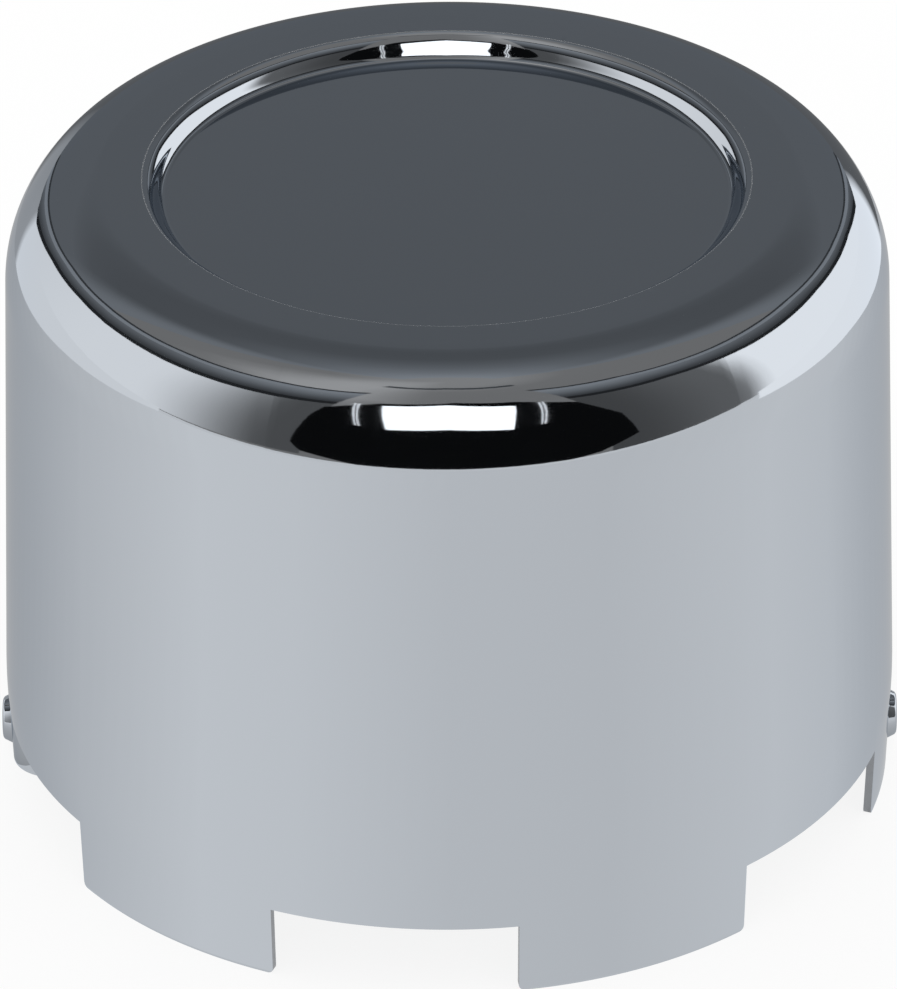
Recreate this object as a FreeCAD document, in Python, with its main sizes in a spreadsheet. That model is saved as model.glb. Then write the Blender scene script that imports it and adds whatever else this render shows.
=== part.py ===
import FreeCAD, Part
import math
import os
import Sketcher

# Wheel center cap: a deep round cup drawn from one sheet of steel and plated.
# Z runs up along the cap's axis, and z = 0 is the level of the tab tips.
# The two retaining buttons lie on the X axis, and -Y is the side with the front gap.

doc = FreeCAD.newDocument("center_cap")
sheet = doc.addObject("Spreadsheet::Sheet", "Sizes")

# Driving dimensions in millimetres and degrees.
SIZES = [
    ("sheet_gauge", "1.0", "thickness of the drawn sheet"),
    ("cap_height", "82.5", "tab tips to the flat top ring"),
    ("belt_radius", "55.9", "widest turn of the wall"),
    ("belt_height", "13.5", "widest turn above the tab tips"),
    ("crown_inset", "2.35", "lean of the wall, from the belt up to the level of the top"),
    ("rim_inset", "0.45", "lean of the tabs, from the belt down to their tips"),
    ("shoulder_radius", "12.7", "outside radius of the drawn shoulder"),
    ("recess_inset", "19.6", "from the belt in to the mouth of the top recess"),
    ("recess_run", "1.9", "width of the sloping ring between mouth and floor"),
    ("recess_depth", "2.7", "recess floor below the flat top ring"),
    ("lip_bend", "3.4", "outside radius of the bend at the recess mouth"),
    ("floor_bend", "1.2", "slope pressed into the edge of the recess floor"),
    ("front_gaps", "3", "gaps between the spring tabs at the front"),
    ("rear_gaps", "3", "gaps between the spring tabs at the back"),
    ("gap_angle", "31.4", "width of a gap seen from the axis"),
    ("gap_pitch", "63.2", "angle between the middles of two front gaps"),
    ("gap_turn", "-7.2", "middle front gap turned about the axis away from -Y"),
    ("tab_length", "9.6", "free length of the tabs"),
    ("tip_corner", "1.0", "rounded corners of the tab tips"),
    ("button_diameter", "6.4", "pressed retaining button"),
    ("button_height", "3.9", "button centre above the tab tips"),
    ("button_rise", "0.8", "button face beyond the widest turn of the wall"),
    ("button_edge", "0.4", "bevelled rim of a button"),
    ("roll_radius", "5.2", "outside radius of the rolled tab edge"),
    ("roll_turn", "3.15", "start of the roll, from the left button's line"),
    ("roll_sweep", "85.0", "angle through which the tab edge is rolled in"),
]
for row, (alias, value, meaning) in enumerate(SIZES, start=1):
    sheet.set("A%d" % row, alias)
    sheet.set("B%d" % row, value)
    sheet.set("C%d" % row, meaning)
    sheet.setAlias("B%d" % row, alias)
doc.recompute()


def size(alias):
    """Current value of a named size."""
    return float(sheet.get(alias))


body = doc.addObject("PartDesign::Body", "Body")
body.Label = "center_cap"


def origin_part(role):
    """Plane or axis of the body's own origin, found by its role."""
    return next(item for item in body.Origin.OriginFeatures if item.Role == role)


def new_sketch(name, plane):
    """Empty sketch on one of the body's origin planes."""
    sketch = body.newObject("Sketcher::SketchObject", name)
    sketch.AttachmentSupport = [(origin_part(plane), "")]
    sketch.MapMode = "FlatFace"
    return sketch


def pin_point(sketch, geo, end, name, x_rule, y_rule):
    """Tie one end of an element to the sketch origin with two named distances."""
    for kind, rule in (("DistanceX", x_rule), ("DistanceY", y_rule)):
        point = sketch.getPoint(geo, end)
        start = point.x if kind == "DistanceX" else point.y
        if rule == "0":
            on_axis = -2 if kind == "DistanceX" else -1
            sketch.addConstraint(Sketcher.Constraint("PointOnObject", geo, end, on_axis))
            continue
        index = sketch.addConstraint(Sketcher.Constraint(kind, -1, 1, geo, end, start))
        sketch.renameConstraint(index, name + kind[-1])
        sketch.setExpression("Constraints." + name + kind[-1], rule)


def polygon(sketch, corners):
    """Closed outline through (name, x, y, x rule, y rule) corners."""
    first = sketch.GeometryCount
    count = len(corners)
    points = [FreeCAD.Vector(corner[1], corner[2], 0) for corner in corners]
    for i in range(count):
        sketch.addGeometry(Part.LineSegment(points[i], points[(i + 1) % count]), False)
    for i, (name, _, _, x_rule, y_rule) in enumerate(corners):
        before = first + (i - 1) % count
        sketch.addConstraint(Sketcher.Constraint("Coincident", before, 2, first + i, 1))
        pin_point(sketch, first + i, 1, name, x_rule, y_rule)


def circular_edges(feature, radius, height):
    """Names of the full circles of one radius at one height."""
    found = []
    for number, edge in enumerate(feature.Shape.Edges, start=1):
        curve = edge.Curve
        if not isinstance(curve, Part.Circle):
            continue
        if abs(curve.Radius - radius) < NEAR and abs(curve.Center.z - height) < NEAR:
            found.append("Edge%d" % number)
    return found


def edge_bend(kind, name, base, edges, rule):
    """Fillet (its Radius) or Chamfer (its Size) tied to the sheet."""
    feature = body.newObject("PartDesign::" + kind, name)
    feature.Base = (base, edges)
    feature.setExpression("Radius" if kind == "Fillet" else "Size", rule)
    doc.recompute()
    return feature


NEAR = 0.01
# How far cuts run past the sheet, so that they go right through it.
MARGIN = 5.0

# Derived levels and radii of the section, each with the rule that keeps it so.
GAUGE = "Sizes.sheet_gauge"
FLOOR_RULE = "Sizes.cap_height - Sizes.recess_depth"
floor_level = size("cap_height") - size("recess_depth")
RIM_RULE = "(Sizes.belt_radius - Sizes.rim_inset)"
rim_radius = size("belt_radius") - size("rim_inset")
CROWN_RULE = "(Sizes.belt_radius - Sizes.crown_inset)"
crown_radius = size("belt_radius") - size("crown_inset")
MOUTH_RULE = "(Sizes.belt_radius - Sizes.recess_inset)"
mouth_radius = size("belt_radius") - size("recess_inset")
WELL_RULE = "(%s - Sizes.recess_run)" % MOUTH_RULE
well_radius = mouth_radius - size("recess_run")

# Outer form: half section turned about the axis, its corners still sharp.
outline = new_sketch("OuterSection", "XZ_Plane")
polygon(outline, [
    ("foot", 0.0, 0.0, "0", "0"),
    ("rim", rim_radius, 0.0, RIM_RULE, "0"),
    ("belt", size("belt_radius"), size("belt_height"), "Sizes.belt_radius", "Sizes.belt_height"),
    ("crown", crown_radius, size("cap_height"), CROWN_RULE, "Sizes.cap_height"),
    ("lip", mouth_radius, size("cap_height"), MOUTH_RULE, "Sizes.cap_height"),
    ("floor", well_radius, floor_level, WELL_RULE, FLOOR_RULE),
    ("middle", 0.0, floor_level, "0", FLOOR_RULE),
])
outer = body.newObject("PartDesign::Revolution", "OuterForm")
outer.Profile = outline
outer.ReferenceAxis = (outline, ["V_Axis"])
outer.Angle = 360.0
doc.recompute()

# Drawn bends of the outside, each found by its circle on the form before it.
bends = [
    ("Fillet", "Shoulder", crown_radius, size("cap_height"), "Sizes.shoulder_radius"),
    ("Fillet", "LipBend", mouth_radius, size("cap_height"), "Sizes.lip_bend"),
    ("Chamfer", "FloorBend", well_radius, floor_level, "Sizes.floor_bend"),
]
form = outer
for kind, name, radius, level, rule in bends:
    form = edge_bend(kind, name, form, circular_edges(form, radius, level), rule)

# Hollow: the same section one sheet further in, open at the bottom. Inside, the
# shoulder follows the outer bend in a few narrow bands whose edges lie on its arc.
SHOULDER_BANDS = 3
LEAN_RULE = "atan(Sizes.crown_inset / (Sizes.cap_height - Sizes.belt_height))"
wall_lean = math.atan(size("crown_inset") / (size("cap_height") - size("belt_height")))
SKIN_RULE = "%s / cos(%s)" % (GAUGE, LEAN_RULE)
skin = size("sheet_gauge") / math.cos(wall_lean)
SLOPE_RULE = "%s * tan(atan(Sizes.recess_depth / Sizes.recess_run) / 2)" % GAUGE
slope_shift = size("sheet_gauge") * math.tan(
    math.atan(size("recess_depth") / size("recess_run")) / 2)
ARC_X_RULE = "%s + Sizes.shoulder_radius * (tan(%s) - 1 / cos(%s))" % (
    CROWN_RULE, LEAN_RULE, LEAN_RULE)
arc_x = crown_radius + size("shoulder_radius") * (
    math.tan(wall_lean) - 1 / math.cos(wall_lean))
arc_z = size("cap_height") - size("shoulder_radius")
inner_bend = size("shoulder_radius") - size("sheet_gauge")
corners = [
    ("open", 0.0, -MARGIN, "0", "-%g" % MARGIN),
    ("below", rim_radius - skin, -MARGIN, "%s - %s" % (RIM_RULE, SKIN_RULE), "-%g" % MARGIN),
    ("tip", rim_radius - skin, 0.0, "%s - %s" % (RIM_RULE, SKIN_RULE), "0"),
    ("waist", size("belt_radius") - skin, size("belt_height"),
     "Sizes.belt_radius - %s" % SKIN_RULE, "Sizes.belt_height"),
]
for band in range(SHOULDER_BANDS + 1):
    share = band / SHOULDER_BANDS
    turn = wall_lean + share * (math.pi / 2 - wall_lean)
    turn_rule = "(%s * %g + 90 deg * %g)" % (LEAN_RULE, 1 - share, share)
    corners.append((
        "band%d" % band,
        arc_x + inner_bend * math.cos(turn),
        arc_z + inner_bend * math.sin(turn),
        "%s + (Sizes.shoulder_radius - %s) * cos(%s)" % (ARC_X_RULE, GAUGE, turn_rule),
        "Sizes.cap_height - Sizes.shoulder_radius + (Sizes.shoulder_radius - %s) * sin(%s)" % (
            GAUGE, turn_rule),
    ))
corners += [
    ("underlip", mouth_radius + slope_shift, size("cap_height") - size("sheet_gauge"),
     "%s + %s" % (MOUTH_RULE, SLOPE_RULE), "Sizes.cap_height - %s" % GAUGE),
    ("underfloor", well_radius + slope_shift, floor_level - size("sheet_gauge"),
     "%s + %s" % (WELL_RULE, SLOPE_RULE), "%s - %s" % (FLOOR_RULE, GAUGE)),
    ("undermiddle", 0.0, floor_level - size("sheet_gauge"), "0",
     "%s - %s" % (FLOOR_RULE, GAUGE)),
]
inside = new_sketch("InnerSection", "XZ_Plane")
polygon(inside, corners)
hollow = body.newObject("PartDesign::Groove", "Hollow")
hollow.Profile = inside
hollow.ReferenceAxis = (inside, ["V_Axis"])
hollow.Angle = 360.0
doc.recompute()


def rim_window(name, plane, side, turn, turn_rule):
    """Sketch of a window across the rim, on a half plane turned about the axis."""
    sketch = new_sketch(name, plane)
    about_axis = FreeCAD.Rotation(FreeCAD.Vector(0, 1, 0), turn)
    sketch.AttachmentOffset = FreeCAD.Placement(FreeCAD.Vector(0, 0, 0), about_axis)
    sketch.setExpression("AttachmentOffset.Rotation.Angle", turn_rule)
    far = side * (size("belt_radius") + MARGIN)
    near = side * (rim_radius - MARGIN)
    far_rule = "%d * (Sizes.belt_radius + %g)" % (side, MARGIN)
    near_rule = "%d * (%s - %g)" % (side, RIM_RULE, MARGIN)
    low_rule = "-%g" % MARGIN
    high = size("tab_length")
    polygon(sketch, [
        ("inlow", near, -MARGIN, near_rule, low_rule),
        ("outlow", far, -MARGIN, far_rule, low_rule),
        ("outhigh", far, high, far_rule, "Sizes.tab_length"),
        ("inhigh", near, high, near_rule, "Sizes.tab_length"),
    ])
    return sketch


def pattern(name, originals, axis, count_rule, angle_rule="360"):
    """Copies spaced evenly about an axis, over the whole turn or over a stated angle."""
    feature = body.newObject("PartDesign::PolarPattern", name)
    feature.Originals = originals
    feature.Axis = axis
    feature.setExpression("Angle", angle_rule)
    feature.setExpression("Occurrences", count_rule)
    body.Tip = feature
    doc.recompute()
    return feature


def punched_gaps(name, turn, turn_rule, count_rule, pitch_rule):
    """Gaps punched out of the rim one after the other, with sides that point at the axis."""
    sketch = rim_window(name + "Window", "YZ_Plane", -1, turn, turn_rule)
    gap = body.newObject("PartDesign::Groove", name + "Gap")
    gap.Profile = sketch
    gap.ReferenceAxis = (sketch, ["V_Axis"])
    gap.Midplane = True
    gap.setExpression("Angle", "Sizes.gap_angle")
    doc.recompute()
    swept = "(%s) * (%s - 1)" % (pitch_rule, count_rule)
    return pattern(name + "Gaps", [gap], (sketch, ["V_Axis"]), count_rule, swept)


# The front gaps lie evenly on both sides of the middle one. The rear gaps share out
# what is left of the turn.
FRONT_START_RULE = "Sizes.gap_turn - Sizes.gap_pitch * (Sizes.front_gaps - 1) / 2"
front_half = size("gap_pitch") * (size("front_gaps") - 1) / 2
front_start = size("gap_turn") - front_half
REAR_PITCH_RULE = ("(360 - Sizes.gap_pitch * (Sizes.front_gaps - 1))"
                   " / (Sizes.rear_gaps + 1)")
rear_pitch = (360 - 2 * front_half) / (size("rear_gaps") + 1)
REAR_START_RULE = "Sizes.gap_turn + Sizes.gap_pitch * (Sizes.front_gaps - 1) / 2 + %s" % (
    REAR_PITCH_RULE)
rear_start = size("gap_turn") + front_half + rear_pitch
punched_gaps("Front", front_start, FRONT_START_RULE, "Sizes.front_gaps", "Sizes.gap_pitch")
gaps = punched_gaps("Rear", rear_start, REAR_START_RULE, "Sizes.rear_gaps", REAR_PITCH_RULE)

# Corners of the tab tips, short edges through the sheet at the lowest level.
corner_edges = []
for number, edge in enumerate(gaps.Shape.Edges, start=1):
    through_sheet = edge.BoundBox.ZMax < NEAR and isinstance(edge.Curve, Part.Line)
    if through_sheet:
        corner_edges.append("Edge%d" % number)
tips = edge_bend("Fillet", "TipCorners", gaps, corner_edges, "Sizes.tip_corner")

# The left tab's front edge is bent: the straight strip goes, from the start of the
# roll to the middle of the gap, and the rolled strip takes its place.
strip_sketch = rim_window("StripWindow", "XZ_Plane", -1, size("roll_turn"), "Sizes.roll_turn")
strip = body.newObject("PartDesign::Groove", "StraightStrip")
strip.Profile = strip_sketch
strip.ReferenceAxis = (strip_sketch, ["V_Axis"])
strip.setExpression("Angle", "90 - Sizes.roll_turn + %s" % FRONT_START_RULE)
strip.Reversed = False
doc.recompute()


def rolled_section(name, level_rule, radius, radius_rule, level):
    """Section of the rolled strip at one level: an arc of sheet with radial ends."""
    sketch = new_sketch(name, "XY_Plane")
    about_axis = FreeCAD.Rotation(FreeCAD.Vector(0, 0, 1), size("roll_turn"))
    sketch.AttachmentOffset = FreeCAD.Placement(FreeCAD.Vector(0, 0, level), about_axis)
    sketch.setExpression("AttachmentOffset.Rotation.Angle", "Sizes.roll_turn")
    sketch.setExpression("AttachmentOffset.Base.z", level_rule)
    reach = size("roll_radius")
    centre = FreeCAD.Vector(reach - radius, 0, 0)
    up = FreeCAD.Vector(0, 0, 1)
    start = math.pi
    stop = math.pi + math.radians(size("roll_sweep"))
    for ring in (reach, reach - skin):
        sketch.addGeometry(Part.ArcOfCircle(Part.Circle(centre, up, ring), start, stop), False)
    for end in (start, stop):
        ray = FreeCAD.Vector(math.cos(end), math.sin(end), 0)
        line = Part.LineSegment(centre + ray * (reach - skin), centre + ray * reach)
        sketch.addGeometry(line, False)
    outer_arc, inner_arc, first_end, last_end = 0, 1, 2, 3
    sketch.addConstraint(Sketcher.Constraint("Coincident", outer_arc, 3, inner_arc, 3))
    sketch.addConstraint(Sketcher.Constraint("Coincident", inner_arc, 1, first_end, 1))
    sketch.addConstraint(Sketcher.Constraint("Coincident", outer_arc, 1, first_end, 2))
    sketch.addConstraint(Sketcher.Constraint("Coincident", inner_arc, 2, last_end, 1))
    sketch.addConstraint(Sketcher.Constraint("Coincident", outer_arc, 2, last_end, 2))
    sketch.addConstraint(Sketcher.Constraint("PointOnObject", outer_arc, 3, -1))
    sketch.addConstraint(Sketcher.Constraint("PointOnObject", outer_arc, 1, -1))
    sketch.addConstraint(Sketcher.Constraint("PointOnObject", inner_arc, 1, -1))
    rules = [
        ("reach", Sketcher.Constraint("Radius", outer_arc, reach), "Sizes.roll_radius"),
        ("wall", Sketcher.Constraint("Radius", inner_arc, reach - skin),
         "Sizes.roll_radius - %s" % SKIN_RULE),
        ("middle", Sketcher.Constraint("DistanceX", outer_arc, 3, -1, 1, radius - reach),
         radius_rule + " - Sizes.roll_radius"),
        ("sweep", Sketcher.Constraint("Angle", first_end, 1, last_end, 1, stop - start),
         "Sizes.roll_sweep"),
    ]
    for label, constraint, rule in rules:
        index = sketch.addConstraint(constraint)
        sketch.renameConstraint(index, label)
        sketch.setExpression("Constraints." + label, rule)
    end_on_radius = Sketcher.Constraint("PointOnObject", outer_arc, 3, last_end)
    sketch.addConstraint(end_on_radius)
    return sketch


# The tabs lean in a little, so the roll's section shifts with height.
root_radius = rim_radius + size("rim_inset") * size("tab_length") / size("belt_height")
ROOT_RULE = "%s + Sizes.rim_inset * Sizes.tab_length / Sizes.belt_height" % RIM_RULE
roll_low = rolled_section("RollAtTip", "0", rim_radius, RIM_RULE, 0.0)
roll_high = rolled_section("RollAtRoot", "Sizes.tab_length", root_radius, ROOT_RULE,
                           size("tab_length"))
roll = body.newObject("PartDesign::AdditiveLoft", "RolledStrip")
roll.Profile = roll_low
roll.Sections = [roll_high]
roll.Ruled = True
doc.recompute()


def disc(name, depth, depth_rule, radius, radius_rule):
    """Circle on a plane square to X, at the button's height."""
    sketch = new_sketch(name, "YZ_Plane")
    sketch.AttachmentOffset.Base.z = depth
    sketch.setExpression("AttachmentOffset.Base.z", depth_rule)
    centre = FreeCAD.Vector(0, size("button_height"), 0)
    sketch.addGeometry(Part.Circle(centre, FreeCAD.Vector(0, 0, 1), radius), False)
    pin_point(sketch, 0, 3, "centre", "0", "Sizes.button_height")
    index = sketch.addConstraint(Sketcher.Constraint("Radius", 0, radius))
    sketch.renameConstraint(index, "radius")
    sketch.setExpression("Constraints.radius", radius_rule)
    return sketch


# Retaining buttons, pressed out of the sheet from inside, opposite each other.
button_reach = size("belt_radius") + size("button_rise")
REACH_RULE = "Sizes.belt_radius + Sizes.button_rise"
mid_sheet = rim_radius - size("sheet_gauge") / 2
MID_RULE = "%s - %s / 2" % (RIM_RULE, GAUGE)
button_radius = size("button_diameter") / 2
boss_sketch = disc("ButtonDisc", mid_sheet, MID_RULE, button_radius, "Sizes.button_diameter / 2")
boss = body.newObject("PartDesign::Pad", "Button")
boss.Profile = boss_sketch
boss.setExpression("Length", "%s - (%s)" % (REACH_RULE, MID_RULE))
doc.recompute()

DIMPLE_RULE = "%s - %s - %g" % (RIM_RULE, GAUGE, MARGIN)
dimple_start = rim_radius - size("sheet_gauge") - MARGIN
dimple_sketch = disc("DimpleDisc", dimple_start, DIMPLE_RULE,
                     button_radius - size("sheet_gauge"),
                     "Sizes.button_diameter / 2 - Sizes.sheet_gauge")
dimple = body.newObject("PartDesign::Pocket", "Dimple")
dimple.Profile = dimple_sketch
dimple.Reversed = True
dimple.setExpression("Length", "%s - %s - (%s)" % (REACH_RULE, GAUGE, DIMPLE_RULE))
doc.recompute()
buttons = pattern("Buttons", [boss, dimple], (strip_sketch, ["V_Axis"]), "2")

face_rims = []
for number, edge in enumerate(buttons.Shape.Edges, start=1):
    if isinstance(edge.Curve, Part.Circle) and abs(edge.Curve.Radius - button_radius) < NEAR:
        if abs(abs(edge.Curve.Center.x) - button_reach) < NEAR:
            face_rims.append("Edge%d" % number)
cap = edge_bend("Chamfer", "ButtonRims", buttons, face_rims, "Sizes.button_edge")
body.Tip = cap
doc.recompute()

# Every step has to hold before the shape is written.
for item in doc.Objects:
    if "Invalid" in item.State or "Error" in item.State:
        raise RuntimeError("%s failed: %s" % (item.Name, item.State))
if body.Shape.isNull() or not body.Shape.isValid() or len(body.Shape.Solids) != 1:
    raise RuntimeError("the cap isn't one valid solid")

os.makedirs("parts", exist_ok=True)
body.Shape.exportStep("parts/%s.step" % body.Label)
box = body.Shape.optimalBoundingBox(False, False)
print("center_cap: volume %.1f mm3, x %.2f..%.2f, y %.2f..%.2f, z %.2f..%.2f" % (
    body.Shape.Volume, box.XMin, box.XMax, box.YMin, box.YMax, box.ZMin, box.ZMax))
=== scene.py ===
# %% [markdown]
# # A chromed wheel center cap, photographed in a small studio
# The part is one piece: a deep round cup that a press draws from a disc of sheet steel,
# with a shallow round recess in its top, and spring tabs cut into its open rim. It is
# then polished and chrome plated, so almost nothing of it is seen directly. What we see
# is the room around it. The lesson therefore builds two things with equal care: the thin
# sheet with its bends, and the room that the sheet mirrors.

# %% Load the frame
import math

import bpy
from mathutils import Matrix, Vector


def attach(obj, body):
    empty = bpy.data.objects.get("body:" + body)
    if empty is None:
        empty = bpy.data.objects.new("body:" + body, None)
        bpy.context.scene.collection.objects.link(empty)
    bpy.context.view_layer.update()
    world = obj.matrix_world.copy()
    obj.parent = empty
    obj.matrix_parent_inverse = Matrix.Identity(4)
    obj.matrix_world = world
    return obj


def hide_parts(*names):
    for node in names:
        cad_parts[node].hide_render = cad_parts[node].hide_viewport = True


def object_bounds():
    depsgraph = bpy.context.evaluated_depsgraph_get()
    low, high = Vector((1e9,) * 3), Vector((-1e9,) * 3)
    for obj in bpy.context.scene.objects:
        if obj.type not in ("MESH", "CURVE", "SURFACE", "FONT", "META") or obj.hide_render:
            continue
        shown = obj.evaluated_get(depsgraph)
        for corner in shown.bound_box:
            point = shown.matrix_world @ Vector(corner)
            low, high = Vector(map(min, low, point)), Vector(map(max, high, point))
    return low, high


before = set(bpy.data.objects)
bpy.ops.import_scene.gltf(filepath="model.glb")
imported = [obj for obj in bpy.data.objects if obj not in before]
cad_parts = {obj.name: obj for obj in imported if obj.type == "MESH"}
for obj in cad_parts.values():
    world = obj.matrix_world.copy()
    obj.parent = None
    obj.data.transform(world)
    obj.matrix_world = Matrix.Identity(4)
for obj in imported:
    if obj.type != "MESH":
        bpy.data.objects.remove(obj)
cad_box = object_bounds()
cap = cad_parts["center_cap"]
print("cap box:", [round(value, 5) for corner in cad_box for value in corner])
print("cap mesh:", len(cap.data.vertices), "points,", len(cap.data.polygons), "faces")

# %% [markdown]
# ## Where the camera stands
# The photographer stood back with a long lens and looked down by about 31 degrees, so
# both the top and the wall show. A long lens from far away keeps the cup's round edges
# nearly the same width at the top and the bottom. The angle, the distance and the lens
# were found by fitting the cap's round edges to the photograph. LEAN is the small tilt
# of the camera to one side.

# %% Place the camera
LOOK_DOWN = math.radians(31.46)
CAMERA_DISTANCE = 0.895
AIM = Vector((0.0, 0.0, 0.03676))
LEAN = math.radians(-0.306)
FILM_WIDTH = 36.0
FOCAL_LENGTH = 288.1

lens = bpy.data.cameras.new("product_camera")
camera = bpy.data.objects.new("product_camera", lens)
bpy.context.scene.collection.objects.link(camera)
lens.sensor_fit = "HORIZONTAL"
lens.sensor_width = FILM_WIDTH
lens.lens = FOCAL_LENGTH
stand = Vector((0.0, -math.cos(LOOK_DOWN), math.sin(LOOK_DOWN))) * CAMERA_DISTANCE
camera.location = AIM + stand
look = (AIM - camera.location).to_track_quat("-Z", "Y")
turned = look.to_matrix().to_4x4() @ Matrix.Rotation(LEAN, 4, "Z")
camera.rotation_euler = turned.to_euler()
bpy.context.scene.camera = camera
bpy.context.scene.view_settings.view_transform = "Standard"
print("camera at", [round(value, 4) for value in camera.location])

# %% [markdown]
# ## The table
# The cap stands on a plain white table that runs out of view. A flat sheet of one face is
# enough for it. Its white has two parts. The paint is the smaller one, and only it takes
# the cap's shadow, so the shadow stays as faint as the photograph needs. The rest is a glow
# that only the camera and mirror reflections see. A white table is also the largest thing
# that the chromed wall reflects.

# %% Paint the table
TABLE_PAINT = 0.13
TABLE_LIFT = 0.875


def new_material(name):
    """Material with an empty node tree and its output."""
    material = bpy.data.materials.new(name)
    material.use_nodes = True
    material.node_tree.nodes.clear()
    output = material.node_tree.nodes.new("ShaderNodeOutputMaterial")
    return material, material.node_tree.nodes, material.node_tree.links, output


def seen_by_camera_or_mirror(nodes, links):
    """1 for rays from the camera, from a mirror reflection or through glass."""
    path = nodes.new("ShaderNodeLightPath")
    either = nodes.new("ShaderNodeMath")
    either.operation = "MAXIMUM"
    links.new(path.outputs["Is Camera Ray"], either.inputs[0])
    links.new(path.outputs["Is Glossy Ray"], either.inputs[1])
    any_of_three = nodes.new("ShaderNodeMath")
    any_of_three.operation = "MAXIMUM"
    links.new(either.outputs[0], any_of_three.inputs[0])
    links.new(path.outputs["Is Transmission Ray"], any_of_three.inputs[1])
    return any_of_three.outputs[0]


table_white, nodes, links, output = new_material("table_white")
matt = nodes.new("ShaderNodeBsdfDiffuse")
matt.inputs["Color"].default_value = (TABLE_PAINT, TABLE_PAINT, TABLE_PAINT, 1.0)
lift = nodes.new("ShaderNodeEmission")
lift.inputs["Color"].default_value = (1.0, 1.0, 1.0, 1.0)
amount = nodes.new("ShaderNodeMath")
amount.operation = "MULTIPLY"
amount.inputs[1].default_value = TABLE_LIFT
links.new(seen_by_camera_or_mirror(nodes, links), amount.inputs[0])
links.new(amount.outputs[0], lift.inputs["Strength"])
both = nodes.new("ShaderNodeAddShader")
links.new(matt.outputs[0], both.inputs[0])
links.new(lift.outputs[0], both.inputs[1])
links.new(both.outputs[0], output.inputs["Surface"])
table_white.cycles.emission_sampling = "NONE"
print("table: paint", TABLE_PAINT, "and glow", TABLE_LIFT)

# %% Lay the table
TABLE_HALF = 6.0

table_mesh = bpy.data.meshes.new("table")
corners = [(-1, -1), (1, -1), (1, 1), (-1, 1)]
table_mesh.from_pydata(
    [(x * TABLE_HALF, y * TABLE_HALF, cad_box[0].z) for x, y in corners], [], [(0, 1, 2, 3)])
table = bpy.data.objects.new("table", table_mesh)
bpy.context.scene.collection.objects.link(table)
table_mesh.materials.append(table_white)
print("table:", 2.0 * TABLE_HALF, "m across, under the tab tips")

# %% [markdown]
# ## The light of the room
# A plain white sky lights the table from all sides at once, which gives the soft shadow
# of a light tent. The sky alone would make the chrome a white blank, so the next cells
# hang cards in front of it. They are seen only in mirror reflections.

# %% Light the sky
SKY_LIGHT = 0.95

world = bpy.data.worlds.new("studio")
bpy.context.scene.world = world
world.use_nodes = True
world.node_tree.nodes.clear()
nodes, links = world.node_tree.nodes, world.node_tree.links
sky = nodes.new("ShaderNodeBackground")
sky_out = nodes.new("ShaderNodeOutputWorld")
brightness = nodes.new("ShaderNodeMapRange")
brightness.inputs["To Min"].default_value = SKY_LIGHT
brightness.inputs["To Max"].default_value = 1.0
links.new(seen_by_camera_or_mirror(nodes, links), brightness.inputs["Value"])
links.new(brightness.outputs["Result"], sky.inputs["Strength"])
sky.inputs["Color"].default_value = (1.0, 1.0, 1.0, 1.0)
links.new(sky.outputs[0], sky_out.inputs["Surface"])
print("sky light:", SKY_LIGHT)

# %% [markdown]
# ## How a card is made
# In a real studio the look of chrome is made with cards: black, grey and white boards that
# the metal mirrors. Here each card is a piece of a dome round the cap. Its lower and its
# upper edge are a few corners in degrees: first round to the right from the camera, then
# up from the table. A small rule gives the card's tone at each place, so a card can fade.
# The rule is given those two angles and the share of the way from the lower edge up.
# One glowing material serves all cards and reads the tone from the card's mesh, so the
# cards need no material each.

# %% Mix tones and find places on an edge


def ease(value, start, end):
    """0 before start, 1 after end, and a smooth change between them."""
    share = min(1.0, max(0.0, (value - start) / (end - start)))
    return share * share * (3.0 - 2.0 * share)


def fade(value, start, end):
    """1 before start, 0 after end, and a smooth change between them."""
    return ease(-value, -end, -start)


def mix(first, second, share):
    """Value between first and second."""
    return first + (second - first) * share


def between(edge, station):
    """Point of an edge at a station: 0 at its first corner, 1 at its second, and so on."""
    index = min(int(station), len(edge) - 2)
    return [mix(a, b, station - index) for a, b in zip(edge[index], edge[index + 1])]


print("a quarter of the way, a fade is at", fade(0.25, 0.0, 1.0))

# %% Make a card
DOME_LEVEL = 0.07
DARK_TINT = (0.95, 1.0, 1.06)
WHITE_TINT = (1.0, 1.0, 1.0)
SPAN_STEPS = 8
RISE_STEPS = 12

card_glow, nodes, links, output = new_material("card_glow")
tone = nodes.new("ShaderNodeAttribute")
tone.attribute_name = "tone"
glow = nodes.new("ShaderNodeEmission")
links.new(tone.outputs["Color"], glow.inputs["Color"])
links.new(glow.outputs[0], output.inputs["Surface"])
card_glow.cycles.emission_sampling = "NONE"


def hang(name, rows, shades, tint=DARK_TINT):
    """Card from rows of points and their tones, seen only in mirrors."""
    wide = len(rows[0])
    mesh = bpy.data.meshes.new(name)
    faces = [(r * wide + c, r * wide + c + 1, (r + 1) * wide + c + 1, (r + 1) * wide + c)
             for r in range(len(rows) - 1) for c in range(wide - 1)]
    mesh.from_pydata([point for row in rows for point in row], [], faces)
    layer = mesh.color_attributes.new("tone", "FLOAT_COLOR", "POINT")
    for item, shade in zip(layer.data, [shade for row in shades for shade in row]):
        item.color = [shade * part for part in tint] + [1.0]
    mesh.materials.append(card_glow)
    piece = bpy.data.objects.new(name, mesh)
    bpy.context.scene.collection.objects.link(piece)
    piece.visible_camera = False
    piece.visible_diffuse = False
    piece.visible_shadow = False


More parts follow.
